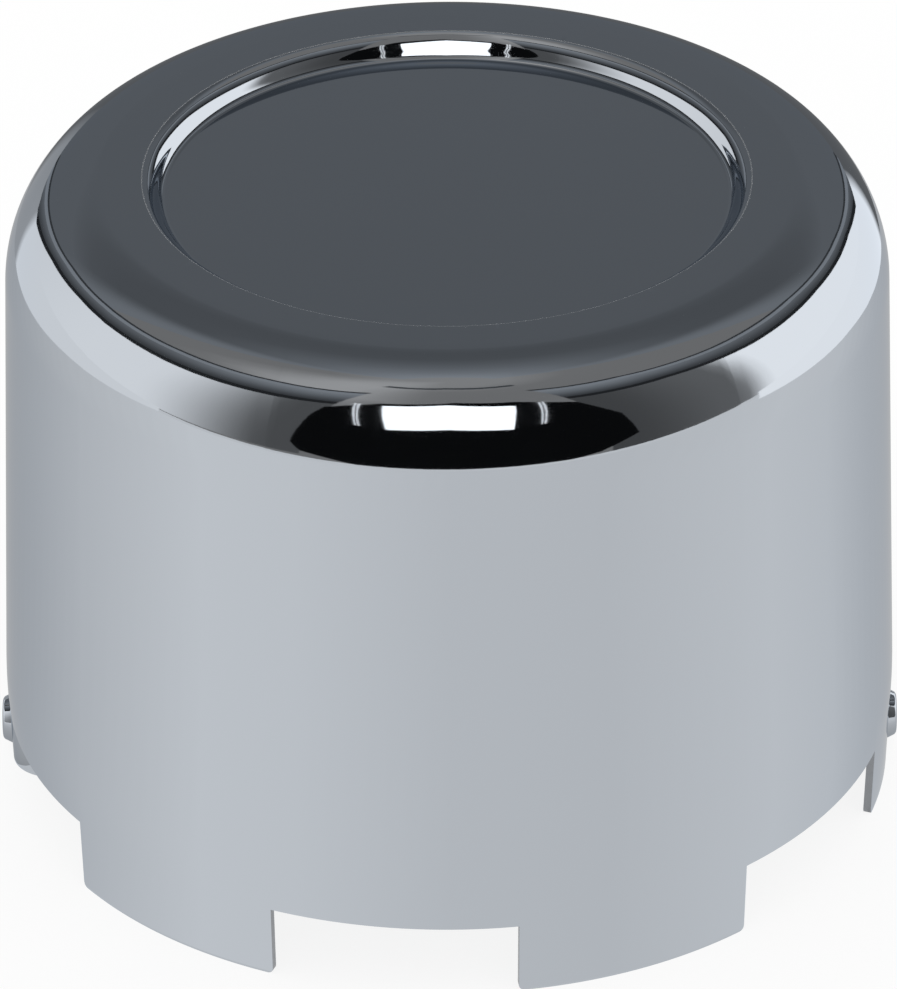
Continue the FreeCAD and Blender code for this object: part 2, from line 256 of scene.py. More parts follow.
def card(name, distance, lower, upper, rule, tint=DARK_TINT):
    """Card on the dome between two edges. The rule gives its tone from the place."""
    rows = []
    shades = []
    for rise in range(RISE_STEPS + 1):
        row = []
        shade = []
        for step in range((len(lower) - 1) * SPAN_STEPS + 1):
            low = between(lower, step / SPAN_STEPS)
            high = between(upper, step / SPAN_STEPS)
            turn, up = [mix(a, b, rise / RISE_STEPS) for a, b in zip(low, high)]
            reach = math.cos(math.radians(up)) * distance
            row.append((math.sin(math.radians(turn)) * reach,
                        -math.cos(math.radians(turn)) * reach,
                        DOME_LEVEL + math.sin(math.radians(up)) * distance))
            shade.append(rule(turn, up, rise / RISE_STEPS))
        rows.append(row)
        shades.append(shade)
    hang(name, rows, shades, tint)


print("cards are drawn with", SPAN_STEPS, "by", RISE_STEPS, "faces to a span")

# %% [markdown]
# ## The dark room behind the lights
# Behind everything is the unlit studio: a grey ceiling, and a darker wall at the back,
# which is all that the flat top of the cap mirrors. The ceiling is a full dome and stands
# furthest out, and the back wall fades into it, so no edge shows between them. The ceiling
# is a little lighter straight overhead, and where the left sheet lights it.

# %% Build the ceiling and the back wall
CEILING_DISTANCE = 5.8
CEILING_LOW = 0.28
CEILING_HIGH = 0.4
CEILING_TINT = (1.03, 1.0, 0.97)
SHEET_GLOW = 0.3
GLOW_TURN = -55.0
BACK_DISTANCE = 5.6
BACK_LOW = 0.19
BACK_HIGH = 0.135
BACK_TOP = 84
UNDER_TABLE = -1

# Where the tones change, in degrees
OVERHEAD = (73.0, 84.0)
GLOW_SIDES = (5.0, 50.0)
GLOW_STARTS = (45.0, 60.0)
GLOW_ENDS = (74.0, 90.0)
BACK_DARKENS = (27.0, 38.0)
BACK_FADES = (52.0, 84.0)
BACK_SIDES = (42.0, 60.0)


def level_edge(turns, up):
    """Edge of a card at one height."""
    return [(turn, up) for turn in turns]


def ceiling_tone(turn, up, share):
    """Grey, lighter straight above the cap and over the left sheet."""
    glow = SHEET_GLOW * fade(abs(turn - GLOW_TURN), *GLOW_SIDES) * ease(up, *GLOW_STARTS)
    return mix(CEILING_LOW, CEILING_HIGH, ease(up, *OVERHEAD)) + glow * fade(up, *GLOW_ENDS)


def back_tone(turn, up, share):
    """Dark in the middle heights, and fading into the ceiling above and at the sides."""
    shade = mix(BACK_LOW, BACK_HIGH, ease(up, *BACK_DARKENS))
    faded = max(ease(up, *BACK_FADES), ease(abs(abs(turn) - 180.0), *BACK_SIDES))
    return mix(shade, ceiling_tone(turn, up, share), faded)


all_round = (-180, -90, 0, 90, 180)
card("ceiling", CEILING_DISTANCE, level_edge(all_round, UNDER_TABLE),
     level_edge(all_round, 90), ceiling_tone, CEILING_TINT)
for side, turns in (("left", (-180, -150, -116)), ("right", (116, 150, 180))):
    card("back_wall_" + side, BACK_DISTANCE, level_edge(turns, UNDER_TABLE),
         level_edge(turns, BACK_TOP), back_tone)
print("ceiling tone:", CEILING_LOW, "to", CEILING_HIGH, "back wall:", BACK_HIGH, "to", BACK_LOW)

# %% [markdown]
# ## The softbox and the black card
# The camera looks out of a black card, so the middle of the cap's shoulder goes black, and
# one softbox above the camera gives the sharp white patch in it. Two pairs of thin white
# strips beside the softbox are slits in the card. A nearer card hides a farther one, so
# the softbox and the slits hang in front and need no holes in the black card.

# %% Hang the softbox, the slits and the black card
SOFTBOX_DISTANCE = 4.4
SOFTBOX_LIGHT = 2.4
SOFTBOX_FOOT = [(-16.5, 32), (0, 34), (17, 31.5)]
SOFTBOX_HEAD = [(-22, 53.5), (0, 58), (22.5, 52.5)]
SLIT_LIGHT = 1.6
SLIT_SPOTS = (("left", -25.3, -31.5), ("right", 25.1, 30.2))
SLIT_FOOT = 33
SLIT_HEAD = 53
SLIT_SPREAD = 1.3
FOOT_WIDTH = 0.5
HEAD_WIDTH = 0.7
BLACK_DISTANCE = 4.6
BLACK = 0.006
BLACK_FOOT = [(-39, 10), (-36, 4), (-22, -1), (3, -1), (30, -1), (37, 1), (47.5, 9)]
BLACK_HEAD = [(-38.5, 36), (-37.5, 44), (-24, 56), (3, 61), (26, 57), (40, 46), (46.5, 28)]


def plain(shade):
    """Rule for a card of one tone."""
    return lambda turn, up, share: shade


card("softbox", SOFTBOX_DISTANCE, SOFTBOX_FOOT, SOFTBOX_HEAD, plain(SOFTBOX_LIGHT), WHITE_TINT)
for side, foot, head in SLIT_SPOTS:
    for number in (0, 1):
        low = foot + number
        high = head + SLIT_SPREAD * number
        card(f"slit_{side}_{number}", SOFTBOX_DISTANCE,
             level_edge((low, low + FOOT_WIDTH), SLIT_FOOT),
             level_edge((high, high + HEAD_WIDTH), SLIT_HEAD), plain(SLIT_LIGHT), WHITE_TINT)
card("black_card", BLACK_DISTANCE, BLACK_FOOT, BLACK_HEAD, plain(BLACK))
print("softbox light:", SOFTBOX_LIGHT, "slits:", SLIT_LIGHT, "black card:", BLACK)

# %% [markdown]
# ## The white sheets at the sides
# A white sheet stands at each side, and gives the long pale bands of the shoulder. The
# left one fades slowly towards the camera. The right one is grey in front and turns white
# within a few degrees, so its band starts sharply. The top edges of both sheets rise
# towards the camera. Each is one card with a rule for its tone, so the fades are smooth.

# %% Hang the side sheets
SHEET_DISTANCE = 5.0
LEFT_LIGHT = 1.27
LEFT_DIM = 0.13
LEFT_BACK_SHARE = 0.93
RIGHT_LIGHT = 1.52
RIGHT_GREYS = (0.1, 0.2)
LEFT_FADES = (-84.0, -44.0)
LEFT_BACK = (-140.0, -100.0)
GREY_LIGHTENS = (46.0, 78.0)
WHITE_STARTS = (77.0, 88.0)
LEFT_SHEET_FOOT = [(-145, -1), (-131, -1), (-117, -1), (-93, -1), (-66, 0), (-36, 1)]
LEFT_SHEET_TOP = [(-145, -0.5), (-131, 12.5), (-117, 20.5), (-93, 29), (-66, 38), (-36, 48)]
RIGHT_SHEET_TOP = [(40, 51), (70, 41.5), (94, 30), (119, 21), (138, 10), (148, -0.5)]


def left_tone(turn, up, share):
    """White sheet that fades to dark grey towards the camera."""
    shade = mix(LEFT_LIGHT, LEFT_DIM, ease(turn, *LEFT_FADES))
    return shade * mix(LEFT_BACK_SHARE, 1.0, ease(turn, *LEFT_BACK))


def right_tone(turn, up, share):
    """Dark grey card that turns sharply into the white sheet."""
    grey = mix(*RIGHT_GREYS, ease(turn, *GREY_LIGHTENS))
    return mix(grey, RIGHT_LIGHT, ease(turn, *WHITE_STARTS))


card("left_sheet", SHEET_DISTANCE, LEFT_SHEET_FOOT, LEFT_SHEET_TOP, left_tone, WHITE_TINT)
right_foot = level_edge([turn for turn, _ in RIGHT_SHEET_TOP], UNDER_TABLE)
card("right_sheet", SHEET_DISTANCE, right_foot, RIGHT_SHEET_TOP, right_tone, WHITE_TINT)
print("sheets: left", LEFT_LIGHT, "right", RIGHT_LIGHT)

# %% [markdown]
# ## Seams and rails over the side sheets
# Where a sheet's top is rolled over its rail, it turns away from the light. In the cap's
# shoulder that is the dark seam between the pale band and the grey ring. Above it lies
# the roll, then a paler rim, and a thin dark line where the rail itself shows. A dark bar
# high up in front gives the last faint line, close to the flat ring. Each of these is a
# card of its own, because their edges are sharp in the photograph and a fade would blur
# them.

# %% Hang the rolled tops of the sheets
LEFT_RAIL = [(-158, 0), (-131, 24.5), (-117, 33), (-93, 45), (-66, 56), (-36, 66)]
RIGHT_RAIL = [(40, 68), (70, 59), (94, 46), (119, 34), (138, 20), (158, 0)]
ROLL_DISTANCE = 5.4
ROLL_DARK = 0.06
ROLL_BACK = 0.24
ROLL_FRONT = 0.36
ROLL_SIDES = (60.0, 100.0)
ROLL_LIGHTENS = (0.15, 1.0)
ROLL_TUCK = 2.0
SEAM_DISTANCE = 5.2
SEAM_WIDTH = 3.0
SEAM = 0.03
RIM_DISTANCE = 5.25
RIM_WIDTH = 3.0
RIM = 0.36
RAIL_DISTANCE = 5.3
RAIL_WIDTH = 1.8
RAIL = 0.06
BAR_FOOT = [(-47, 76.5), (0, 79), (51, 76.5)]
BAR_WIDTH = 2.0
BAR = 0.09


def roll_tone(turn, up, share):
    """Dark at the seam, and lighter up to the rail, most of all towards the front."""
    pale = mix(ROLL_BACK, ROLL_FRONT, fade(abs(turn), *ROLL_SIDES))
    return mix(ROLL_DARK, pale, ease(share, *ROLL_LIGHTENS))


def lifted(edge, rise):
    """The same edge, higher by rise."""
    return [(turn, up + rise) for turn, up in edge]


for side, top, rail in (("left", LEFT_SHEET_TOP, LEFT_RAIL),
                        ("right", RIGHT_SHEET_TOP, RIGHT_RAIL)):
    tucked = lifted(top, -ROLL_TUCK)
    card(side + "_roll", ROLL_DISTANCE, tucked, rail, roll_tone)
    card(side + "_seam", SEAM_DISTANCE, tucked, lifted(top, SEAM_WIDTH), plain(SEAM))
    card(side + "_rim", RIM_DISTANCE, lifted(rail, -RIM_WIDTH), rail, plain(RIM))
    card(side + "_rail", RAIL_DISTANCE, rail, lifted(rail, RAIL_WIDTH), plain(RAIL))
card("ceiling_bar", RAIL_DISTANCE, BAR_FOOT, lifted(BAR_FOOT, BAR_WIDTH), plain(BAR))
print("seams", SEAM_WIDTH, "rims", RIM_WIDTH, "and rails", RAIL_WIDTH, "degrees wide")

# %% [markdown]
# ## A board on the table
# Close behind the cap stands a low board. It is dark straight behind the cap, shaded to the
# left of that, and white further out, where it is the foot of the two sheets. The cap's far
# edge mirrors the dark part, which is why its outline stays dark against the white table.
# The board is near, so it is given by places on the table in metres, not by angles: each
# corner has its place and the board's tone there, from left to right.

# %% Stand the low board
BOARD_HEIGHT = 0.083
BOARD = [(-1.69, -0.49, 1.19), (-0.465, 0.122, 1.19), (-0.195, 0.1943, 1.19),
         (-0.178, 0.1937, 0.55), (-0.11, 0.1905, 0.48), (-0.085, 0.1895, 0.175),
         (0.0, 0.188, 0.175), (0.08, 0.186, 0.175), (0.13, 0.1807, 0.175),
         (0.146, 0.1783, 1.5), (0.34, 0.142, 1.5), (0.979, -0.173, 1.5)]

hang("back_board", [[(x, y, level) for x, y, _ in BOARD] for level in (0.0, BOARD_HEIGHT)],
     [[shade for _, _, shade in BOARD]] * 2, WHITE_TINT)
print("board:", len(BOARD), "corners,", BOARD_HEIGHT, "m high")

# %% [markdown]
# ## The cloth of painted light and shade under the cap
# The wall mirrors the table close around the cap. There the light falls off towards the
# back, and the photographer's own shadow dims the middle, so the wall is palest a little
# to the left and to the right, and darker at its edges. A cloth that only the chrome sees
# carries these levels as painted light and shade. It is spread along the rays that leave
# the wall as a round mirror throws them back: twice as far round as the place that they
# leave. So each tone is given by the place on the wall where it is seen.

# %% Spread the cloth
CLOTH_LEVEL = 0.0003
CLOTH_REACHES = (0.0, 0.02, 0.1, 1.6)
WALL_RADIUS = 0.0550
# Painted light and shade: tones for the fall-off of the light and the photographer's shadow.
CLOTH_LIGHT_AND_SHADE = [(-89.0, 0.47), (-71.0, 0.7), (-54.0, 0.9), (-33.0, 1.08), (-20.0, 1.06),
               (0.0, 0.95), (20.0, 0.93), (45.0, 1.03), (57.0, 0.98), (74.0, 0.74),
               (89.0, 0.48)]


def cloth_point(turn, reach):
    """Place on the cloth that the wall at this turn mirrors."""
    start, away = math.radians(turn), math.radians(2.0 * turn)
    return (WALL_RADIUS * math.sin(start) + reach * math.sin(away),
            -WALL_RADIUS * math.cos(start) - reach * math.cos(away), CLOTH_LEVEL)


places = [between(CLOTH_LIGHT_AND_SHADE, step / SPAN_STEPS)
          for step in range(SPAN_STEPS * (len(CLOTH_LIGHT_AND_SHADE) - 1) + 1)]
hang("painted_light_and_shade_cloth",
     [[cloth_point(turn, reach) for turn, _ in places] for reach in CLOTH_REACHES],
     [[shade for _, shade in places]] * len(CLOTH_REACHES), WHITE_TINT)
print("cloth:", len(places), "tones across the wall")

# %% [markdown]
# ## How the section is drawn
# A press draws the cap in several steps, and each leaves a round bend. Half of the cap's
# section is drawn and then turned round the axis, so every bend stays truly round, which
# a mirror needs, and no later smoothing has to guess it. The section has two kinds of
# stretch, level lines and bends. Its sizes are in millimetres, as on a drawing: distance
# from the axis, then level above the tab tips. Each point also keeps its outward
# direction, because the inner skin lies one sheet thickness behind it.

# %% Make level lines and bends
SHEET = 1.0
TOP_LEVEL = 82.5
METRES = 0.001


def heading(degrees):
    """Unit direction in the section: 0 is outwards, 90 is up."""
    return math.cos(math.radians(degrees)), math.sin(math.radians(degrees))


def bend(middle, radius, first, last, steps, hollow=False):
    """Points of a bend with their outward directions; a hollow one faces its middle."""
    side = -1.0 if hollow else 1.0
    points = []
    for step in range(steps + 1):
        out = heading(mix(first, last, step / steps))
        place = (middle[0] + side * radius * out[0], middle[1] + side * radius * out[1])
        points.append((place, out))
    return points


def bend_before(later, radius, first, last, steps):
    """Bend that ends where a later stretch starts, with no kink between them."""
    start, out = later[0]
    middle = (start[0] - radius * out[0], start[1] - radius * out[1])
    return bend(middle, radius, 180.0 - first, 180.0 - last, steps)


def flat(first, last, level, steps):
    """Points of a level stretch, without its last point."""
    return [((mix(first, last, step / steps), level), heading(90.0)) for step in range(steps)]


print("sheet:", SHEET, "mm thick, top at", TOP_LEVEL, "mm")

# %% [markdown]
# ## The recess
# The recess is pushed down into the top, and its side isn't upright. From the floor a small
# hollow bend leads into a long S, which is steepest in its middle, then comes the soft bend
# of the lip, and last a fine crease beside the flat ring. We start at the crease, whose
# place is known, and work down to the floor, so that each bend starts where the one above
# it ends. The radius of the lower half of the S is the one size left open, and the depth
# of the recess settles it. The angles say how steeply up the sheet faces there: 90 is
# straight up, and a smaller angle is a steeper slope.

# %% Draw the recess
RECESS_DEPTH = 2.7
LIP_RADIUS = 37.1
LIP_EDGE = 0.32
LIP_STARTS = 66.0
LIP_BEND = 2.6
SLOPE_STARTS = 48.0
STEEPEST = 30.5
UPPER_SLOPE = 5.5
FLOOR_BEND = 0.6

floor_level = TOP_LEVEL - RECESS_DEPTH
crease = bend((LIP_RADIUS, TOP_LEVEL - LIP_EDGE), LIP_EDGE, 180.0 - LIP_STARTS, 90.0, steps=4)
lip = bend_before(crease, LIP_BEND, SLOPE_STARTS, LIP_STARTS, steps=6)
slope = bend_before(lip, UPPER_SLOPE, STEEPEST, SLOPE_STARTS, steps=8)

start, out = slope[0]
across, rising = heading(SLOPE_STARTS)
floor_drop = FLOOR_BEND * (1.0 - rising)
lower_slope = (start[1] - floor_level - floor_drop) / (rising - out[1])
hollow_middle = (start[0] + lower_slope * out[0], start[1] + lower_slope * out[1])
hollow = bend(hollow_middle, lower_slope, 180.0 - SLOPE_STARTS, 180.0 - STEEPEST, steps=8,
              hollow=True)
floor_middle = (hollow[0][0][0] - FLOOR_BEND * across, floor_level + FLOOR_BEND)
floor_bend = bend(floor_middle, FLOOR_BEND, 90.0, 180.0 - SLOPE_STARTS, steps=6, hollow=True)

section = flat(0.0, floor_middle[0], floor_level, steps=6)
section += floor_bend + hollow[1:] + slope[1:] + lip[1:] + crease[1:]
print("recess floor out to radius", round(floor_middle[0], 2), "mm, S of radius",
      UPPER_SLOPE, "and", round(lower_slope, 2), "mm")

# %% [markdown]
# ## The shoulder and the wall
# Outside the flat ring the sheet goes over the shoulder in two bends that flow into each
# other, the upper one tighter, as the photograph's reflections show. Then comes a wall
# that widens a little down to the belt, the widest turn just above the tabs, and a very
# wide bend at the belt turns it back inwards. The wall gets its first row of points close
# under the shoulder, so that the shading of the bend doesn't spill onto the straight part.

# %% Draw the shoulder, the wall and the belt
RING_EDGE = 42.25
UPPER_BEND = 10.65
LOWER_BEND = 15.2
BENDS_MEET = 40.87
SHOULDER_STEPS = 18
BELT_RADIUS = 55.9
BELT_LEVEL = 13.5
BELT_BEND = 74.0
WALL_WIDENS = 2.35
WALL_SHARES = (0.02, 0.1, 0.25, 0.4, 0.55, 0.7, 0.85)
TABS_LEAN = 0.45
ROOT_LEVEL = 9.6

wall_lean = math.degrees(math.atan(WALL_WIDENS / (TOP_LEVEL - BELT_LEVEL)))
tab_lean = -math.degrees(math.atan(TABS_LEAN / BELT_LEVEL))

section += flat(LIP_RADIUS, RING_EDGE, TOP_LEVEL, steps=4)[1:]
upper_middle = (RING_EDGE, TOP_LEVEL - UPPER_BEND)
section += bend(upper_middle, UPPER_BEND, 90.0, BENDS_MEET, SHOULDER_STEPS)
meet = heading(BENDS_MEET)
lower_middle = tuple(m + (UPPER_BEND - LOWER_BEND) * d for m, d in zip(upper_middle, meet))
section += bend(lower_middle, LOWER_BEND, BENDS_MEET, wall_lean, SHOULDER_STEPS)[1:]

foot = section[-1][0]
half_turn = math.radians((wall_lean - tab_lean) / 2.0)
away = BELT_BEND / math.cos(half_turn)
middle_out = heading((wall_lean + tab_lean) / 2.0)
belt_middle = (BELT_RADIUS - away * middle_out[0], BELT_LEVEL - away * middle_out[1])
belt = bend(belt_middle, BELT_BEND, wall_lean, tab_lean, steps=6)
for share in WALL_SHARES:
    place = tuple(mix(a, b, share) for a, b in zip(foot, belt[0][0]))
    section.append((place, heading(wall_lean)))
section += belt


def tab_radius(level):
    """Outside radius of the tabs at a level above their tips."""
    return BELT_RADIUS - TABS_LEAN * (BELT_LEVEL - level) / BELT_LEVEL


TAB_OUT = heading(tab_lean)
section.append(((tab_radius(ROOT_LEVEL), ROOT_LEVEL), TAB_OUT))
print("section:", len(section), "points, wall leans", round(wall_lean, 2), "degrees")

# %% [markdown]
# ## Where the tabs stand
# Six gaps are punched into the rim and leave six spring tabs. The three gaps in front
# stand 63.2 degrees apart, and the three at the back share the rest evenly. The columns
# of the mesh follow the gaps' edges, with a few close ones for the rounded tab corners,
# so the gaps are cut exactly without a Boolean. An evenly spaced column is left out where
# it would stand too close to one of these.

# %% Lay out the columns
GAP_WIDTH = 31.4
GAP_TURN = -7.2
FRONT_PITCH = 63.2
REAR_PITCH = (360.0 - 2.0 * FRONT_PITCH) / 4.0
LEFT_BUTTON = -90.0
ROLL_OFFSET = 3.15
ROLL_START = LEFT_BUTTON + ROLL_OFFSET
CORNER = 0.75
CORNER_SHARES = (0.0, 0.35, 0.7, 1.0)
COLUMN_STEP = 1.5
CLOSEST = 0.35

gap_middles = [GAP_TURN - FRONT_PITCH, GAP_TURN, GAP_TURN + FRONT_PITCH]
for number in (1, 2, 3):
    gap_middles.append(GAP_TURN + FRONT_PITCH + number * REAR_PITCH)
tabs = []
for first, second in zip(gap_middles, gap_middles[1:] + [gap_middles[0] + 360.0]):
    tabs.append([first + GAP_WIDTH / 2.0, second - GAP_WIDTH / 2.0])
tabs[-1][1] = ROLL_START + 360.0

corner_turn = math.degrees(CORNER / BELT_RADIUS)
wanted = []
for first, last in tabs:
    for share in CORNER_SHARES:
        wanted += [first + share * corner_turn, last - share * corner_turn]
wanted = [turn % 360.0 for turn in wanted]
for index in range(int(360.0 / COLUMN_STEP)):
    turn = index * COLUMN_STEP
    if min(abs((turn - other + 180.0) % 360.0 - 180.0) for other in wanted) > CLOSEST:
        wanted.append(turn)
columns = sorted(wanted)
print("tabs:", [[round(turn, 1) for turn in tab] for tab in tabs], "columns:", len(columns))

# %% [markdown]
# ## The outer skin
# The skin is a grid: the section is turned round the axis, column by column. A point that
# is asked for twice is made once, so the grids of the wall and of the tabs share their
# edges and leave no crack. Each point gets a partner for the inner skin, which lies
# straight behind it.

# %% Turn the section
PLACE_DIGITS = 4

points = []
behind = []
faces = []
numbers = {}


def round_axis(turn):
    """Direction from the axis: 0 is towards the camera, 90 is to the right."""
    return math.sin(math.radians(turn)), -math.cos(math.radians(turn))


def add_point(place, out):
    """Number of the point at this place; its partner lies one sheet behind it."""
    key = tuple(round(value, PLACE_DIGITS) for value in place)
    if key not in numbers:
        numbers[key] = len(points)
        points.append(place)
        behind.append(tuple(p - SHEET * o for p, o in zip(place, out)))
    return numbers[key]


def add_grid(rows):
    """Faces between rows of point numbers, without doubled corners."""
    for upper, lower in zip(rows, rows[1:]):
        for quad in zip(upper, lower, lower[1:], upper[1:]):
            corners = []
            for number in quad:
                if number not in corners:
                    corners.append(number)
            if len(corners) > 2:
                faces.append(corners)


def on_ring(spot, out, turn):
    """Point of the section turned round the axis."""
    x, y = round_axis(turn)
    return add_point((spot[0] * x, spot[0] * y, spot[1]), (out[0] * x, out[0] * y, out[1]))


add_grid([[on_ring(spot, out, turn) for turn in columns + columns[:1]]
          for spot, out in section])
print("cup down to the gaps:", len(points), "points,", len(faces), "faces")

# %% [markdown]
# ## The spring tabs
# Below the roots of the gaps only the tabs go on. The square lower corners of a tab are
# squeezed into round ones, which keeps a clean grid there. The left rear tab has its near
# edge rolled inwards, so that corner stays square, and the roll goes on from it.

# %% Add the tabs
TAB_LEVELS = (ROOT_LEVEL, 8.6, 7.2, 5.8, 4.4, 3.0, 2.0, 1.0, 0.65, 0.3, 0.0)
EDGE_MARGIN = 0.01


def rounded(along, level, length, square_start=False):
    """Place on a tab with its two lower corners rounded."""
    for edge, side in ((0.0, 1.0), (length, -1.0)):
        depth = (along - edge) * side
        if depth < CORNER and level < CORNER and not (square_start and edge == 0.0):
            a = 1.0 - depth / CORNER
            b = 1.0 - level / CORNER
            depth = CORNER * (1.0 - a * math.sqrt(1.0 - b * b / 2.0))
            level = CORNER * (1.0 - b * math.sqrt(1.0 - a * a / 2.0))
            return edge + side * depth, level
    return along, level


per_degree = math.radians(BELT_RADIUS)
for first, last in tabs:
    turns = [column + start for start in (-360.0, 0.0, 360.0) for column in columns
             if first + EDGE_MARGIN < column + start < last - EDGE_MARGIN]
    length = (last - first) * per_degree
    rolled = last == tabs[-1][1]
    rows = []
    for level in TAB_LEVELS:
        row = []
        for turn in [first] + turns + [last]:
            along, height = (turn - first) * per_degree, level
            if not rolled or along <= length - 2.0 * CORNER:
                along, height = rounded(along, height, length)
            place = (tab_radius(height), height)
            row.append(on_ring(place, TAB_OUT, first + along / per_degree))
        rows.append(row)
    add_grid(rows)
print("with", len(tabs), "tabs:", len(points), "points,", len(faces), "faces")

# %% [markdown]
# ## The rolled edge
# The roll is a piece of a smaller circle. It touches the wall's circle inside where the
# tab ends, so the sheet bends inwards there without a kink.

# %% Roll the edge of the left tab
ROLL_RADIUS = 5.2
ROLL_SWEEP = 85.0
ROLL_COLUMNS = 18

roll_length = math.radians(ROLL_SWEEP) * ROLL_RADIUS
roll_x, roll_y = round_axis(ROLL_START)
rows = []
for level in TAB_LEVELS:
    row = []
    for step in range(ROLL_COLUMNS + 1):
        along, height = rounded(roll_length * step / ROLL_COLUMNS, level, roll_length,
                                square_start=True)
        x, y = round_axis(ROLL_START + math.degrees(along / ROLL_RADIUS))
        centre = tab_radius(height) - ROLL_RADIUS
        place = (centre * roll_x + ROLL_RADIUS * x, centre * roll_y + ROLL_RADIUS * y, height)
        row.append(add_point(place, (TAB_OUT[0] * x, TAB_OUT[0] * y, TAB_OUT[1])))
    rows.append(row)
add_grid(rows)
print("outer skin:", len(points), "points,", len(faces), "faces")

# %% [markdown]
# ## Closing the sheet
# The inner skin repeats the outer one, one sheet thickness behind it and facing the other
# way. Every edge that belongs to only one face is a cut edge of the sheet, and a narrow
# face joins the two skins there. Modifiers such as Solidify could do this too, but here
# every point knows its own outward direction, so the thickness stays true in each bend.
# The faces get three finishes by number: 0 is the skins, 1 the cut edges, with painted
# shade, and 2 the fine crease at the recess lip, with a painted highlight.

# %% Close the sheet
FINISHES = 3
CUT_DULL_AND_SHADE_INDEX = 1
CREASE_HIGHLIGHT_INDEX = 2
CREASE_WIDTH = LIP_EDGE / 2.0
CREASE_DROP = LIP_EDGE / 8.0

count = len(points)
single = {}
for corners in faces:
    for a, b in zip(corners, corners[1:] + corners[:1]):
        if (b, a) in single:
            del single[(b, a)]
        else:
            single[(a, b)] = True
skins = faces + [[number + count for number in reversed(corners)] for corners in faces]
skins += [(b, a, a + count, b + count) for a, b in single]
shell = bpy.data.meshes.new("pressed_cap")
shell.from_pydata([tuple(v * METRES for v in place) for place in points + behind], [], skins)
pressed_cap = bpy.data.objects.new("pressed_cap", shell)
bpy.context.scene.collection.objects.link(pressed_cap)
for _ in range(FINISHES):
    shell.materials.append(None)
# The cut edges get dull plating whose dark colour is painted shade.
for face in shell.polygons[2 * len(faces):]:
    face.material_index = CUT_DULL_AND_SHADE_INDEX
crease_faces = 0
# The faces of the lip crease get a painted highlight.
for face in shell.polygons[:len(faces)]:
    inwards = LIP_RADIUS - math.hypot(face.center.x, face.center.y) / METRES
    drop = TOP_LEVEL - face.center.z / METRES
    if 0.0 < inwards < CREASE_WIDTH and drop < CREASE_DROP:
        face.material_index = CREASE_HIGHLIGHT_INDEX
        crease_faces += 1
shell.validate()
print("closed sheet:", len(skins), "faces,", len(single), "on the cut edges,",
      crease_faces, "on the crease")

# %% [markdown]
# ## Dulled cut edges
# A sheared edge is sharp, and polishing and plating take a little off it. A Bevel modifier
# does the same, only where two faces meet at a large angle, which in this sheet are the
# cut edges.

# %% Take the sharpness off the cuts
CUT_BEVEL = 0.1
CUT_SEGMENTS = 2
CUT_ANGLE = math.radians(60.0)


def apply_modifiers(piece):
    """Replace the piece's mesh by what its modifiers make of it."""
    depsgraph = bpy.context.evaluated_depsgraph_get()
    made = bpy.data.meshes.new_from_object(piece.evaluated_get(depsgraph))
    piece.modifiers.clear()
    piece.data = made


trim = pressed_cap.modifiers.new("cut edges", "BEVEL")
trim.width = CUT_BEVEL * METRES
trim.segments = CUT_SEGMENTS
trim.limit_method = "ANGLE"
trim.angle_limit = CUT_ANGLE
apply_modifiers(pressed_cap)
print("with bevels:", len(pressed_cap.data.polygons), "faces")

# %% [markdown]
# ## The two retaining buttons
# A punch presses a round button out of the sheet at each side, low on a tab. From outside
# it is a flat disc with leaning sides, from inside a dimple. Both are turned shapes, so
# each is a lathe outline, and two Boolean modifiers join the buttons to the sheet and take
# the dimples out of it. Here a Boolean is the simpler way, because a small round form on
# the wall doesn't fit into the grid of rows and columns.

# %% Turn a shape on a lathe
BUTTON_LEVEL = 3.9
LATHE_STEPS = 48


def lathe(name, outline):
    """Turned shapes at both sides of the cap, from (distance from the axis, radius)."""
    places = []
    lathe_faces = []
    ring_count = len(outline) - 2
    for side in (1.0, -1.0):
        start = len(places)
        places.append((side * outline[0][0], 0.0, BUTTON_LEVEL))
        places.append((side * outline[-1][0], 0.0, BUTTON_LEVEL))
        for reach, radius in outline[1:-1]:
            for step in range(LATHE_STEPS):
                turn = 2.0 * math.pi * step / LATHE_STEPS
                places.append((side * reach, side * radius * math.cos(turn),
                               BUTTON_LEVEL + radius * math.sin(turn)))
        first_ring = start + 2
        last_ring = first_ring + (ring_count - 1) * LATHE_STEPS
        for step in range(LATHE_STEPS):
            after = (step + 1) % LATHE_STEPS
            lathe_faces.append((start, first_ring + after, first_ring + step))
            lathe_faces.append((start + 1, last_ring + step, last_ring + after))
            for ring in range(ring_count - 1):
                low = first_ring + ring * LATHE_STEPS
                high = low + LATHE_STEPS
                lathe_faces.append((low + step, low + after, high + after, high + step))
    mesh = bpy.data.meshes.new(name)
    mesh.from_pydata([tuple(v * METRES for v in place) for place in places], [], lathe_faces)
    piece = bpy.data.objects.new(name, mesh)
    bpy.context.scene.collection.objects.link(piece)
    return piece


print("lathe:", LATHE_STEPS, "steps round, at level", BUTTON_LEVEL, "mm")

# %% Press the buttons
BUTTON_RADIUS = 3.2
BUTTON_FACE = 56.7
BUTTON_FOOT = 55.5
BUTTON_DRAFT = 26.0
BUTTON_RIM = 0.6
DIMPLE_RIM = 0.3
RIM_STEPS = 8
MID_SHEET = 54.95
DIMPLE_REACH = 1.3


def turned_outline(start, face, radius, rim):
    """Outline of a stub with leaning sides and a rounded face rim; radius is at the wall."""
    lean = math.tan(math.radians(BUTTON_DRAFT))
    first = heading(90.0 - BUTTON_DRAFT)
    edge_reach = face - rim + rim * first[0]
    edge_radius = radius - (edge_reach - BUTTON_FOOT) * lean
    outline = [(start, 0.0), (start, edge_radius + (edge_reach - start) * lean)]
    for step in range(RIM_STEPS + 1):
        out = heading(mix(90.0 - BUTTON_DRAFT, 0.0, step / RIM_STEPS))
        outline.append((face - rim + rim * out[0], edge_radius + rim * (out[1] - first[1])))
    return outline + [(face, 0.0)]


